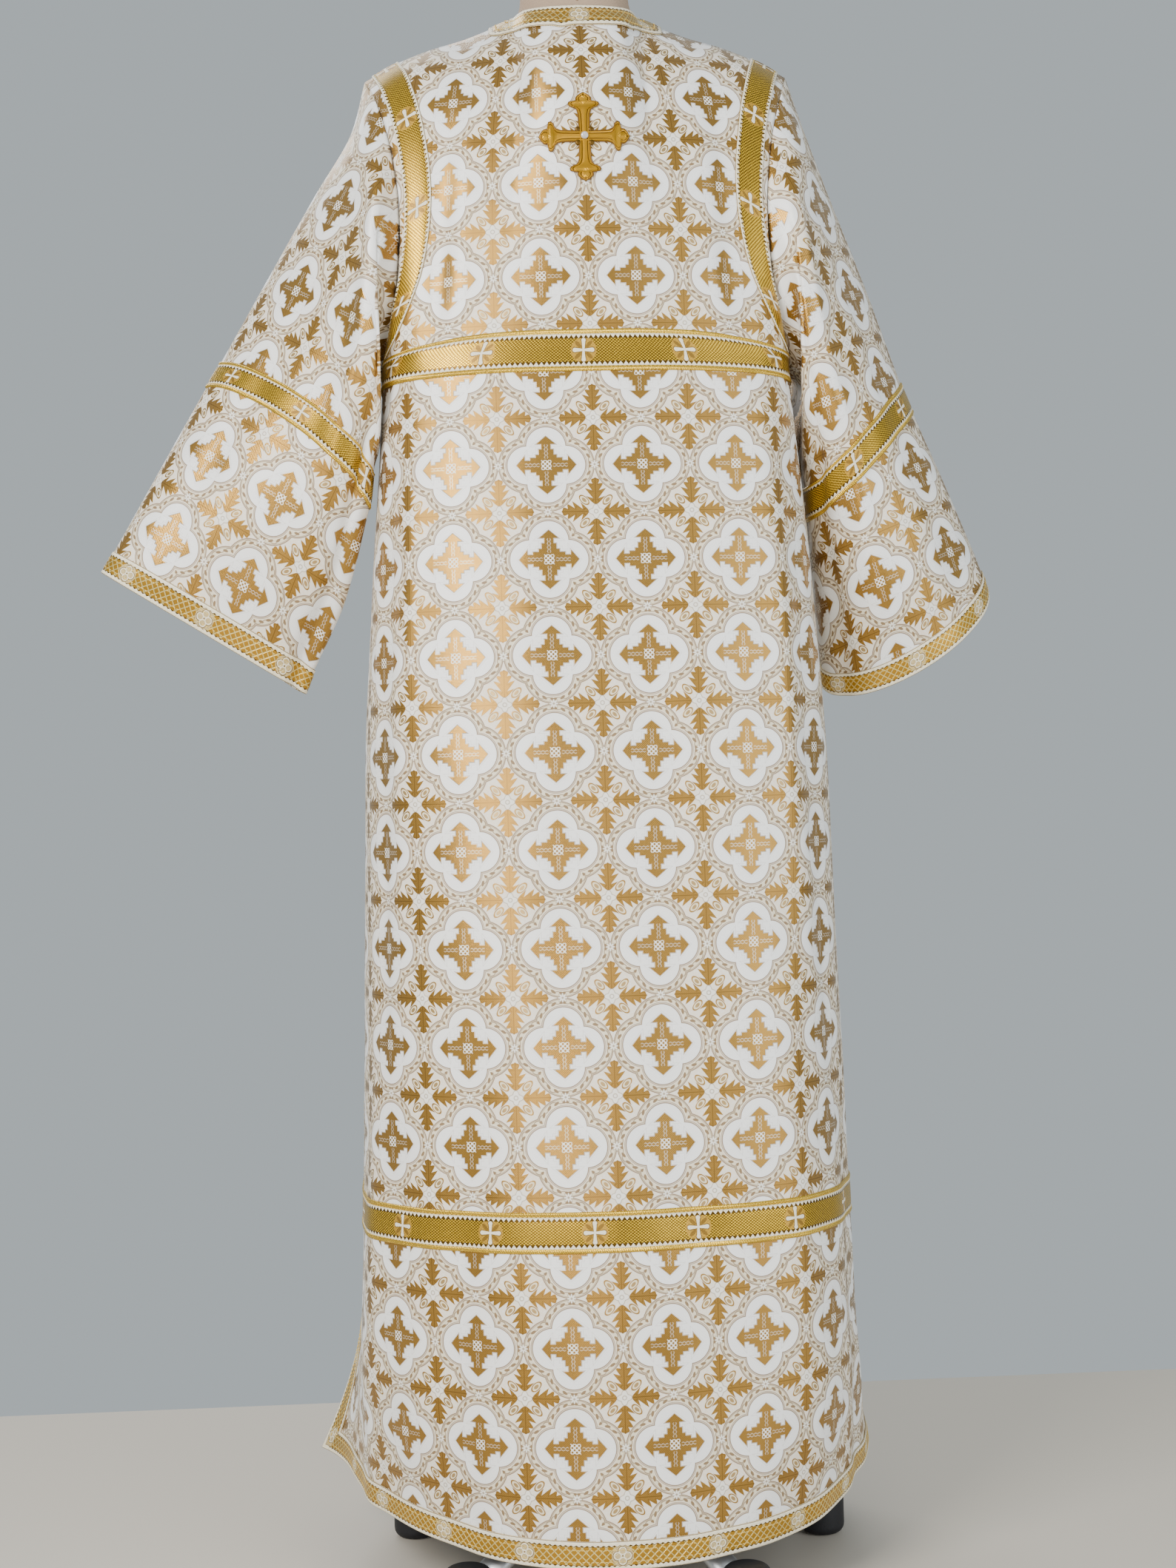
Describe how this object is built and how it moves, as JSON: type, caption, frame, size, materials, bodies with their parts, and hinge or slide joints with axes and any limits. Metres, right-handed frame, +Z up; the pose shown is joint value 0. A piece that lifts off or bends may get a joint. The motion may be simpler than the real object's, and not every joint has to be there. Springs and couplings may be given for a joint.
{
  "type": "sticharion on dress form and stand",
  "caption": "Long wide-sleeved liturgical vestment of cream and gold brocade with gold galloons, on a limbless linen dress form and steel stand",
  "frame": {"origin": "On the floor under the middle of the whole part's bounding box.", "axes": "+Z is up, +Y points out of the back of the garment, +X is the wearer's left."},
  "size_m": [0.9137, 0.4768, 1.6203],
  "materials": {
    "brocade": "cream and gold woven brocade",
    "galloon": "gold metallic woven braid",
    "embroidery": "gold thread embroidery",
    "linen": "matt beige linen",
    "steel": "satin",
    "rubber": "matt black"
  },
  "bodies": {
    "root": {"back": "brocade", "front": "brocade", "sleeve_left": "brocade", "sleeve_right": "brocade", "neck_galloon": "galloon", "armhole_galloon_left": "galloon", "armhole_galloon_right": "galloon", "yoke_galloon_back": "galloon", "yoke_galloon_front": "galloon", "sleeve_galloon_left": "galloon", "sleeve_galloon_right": "galloon", "cuff_galloon_left": "galloon", "cuff_galloon_right": "galloon", "skirt_galloon_back": "galloon", "skirt_galloon_front": "galloon", "hem_galloon_back": "galloon", "hem_galloon_front": "galloon", "back_cross": "embroidery", "dress_form": "linen", "neck_cap": "steel", "pole": "steel", "base_hub": "steel", "leg_1": "steel", "foot_1": "rubber", "leg_2": "steel", "foot_2": "rubber", "leg_3": "steel", "foot_3": "rubber", "leg_4": "steel", "foot_4": "rubber", "leg_5": "steel", "foot_5": "rubber"}
  },
  "joints": []
}
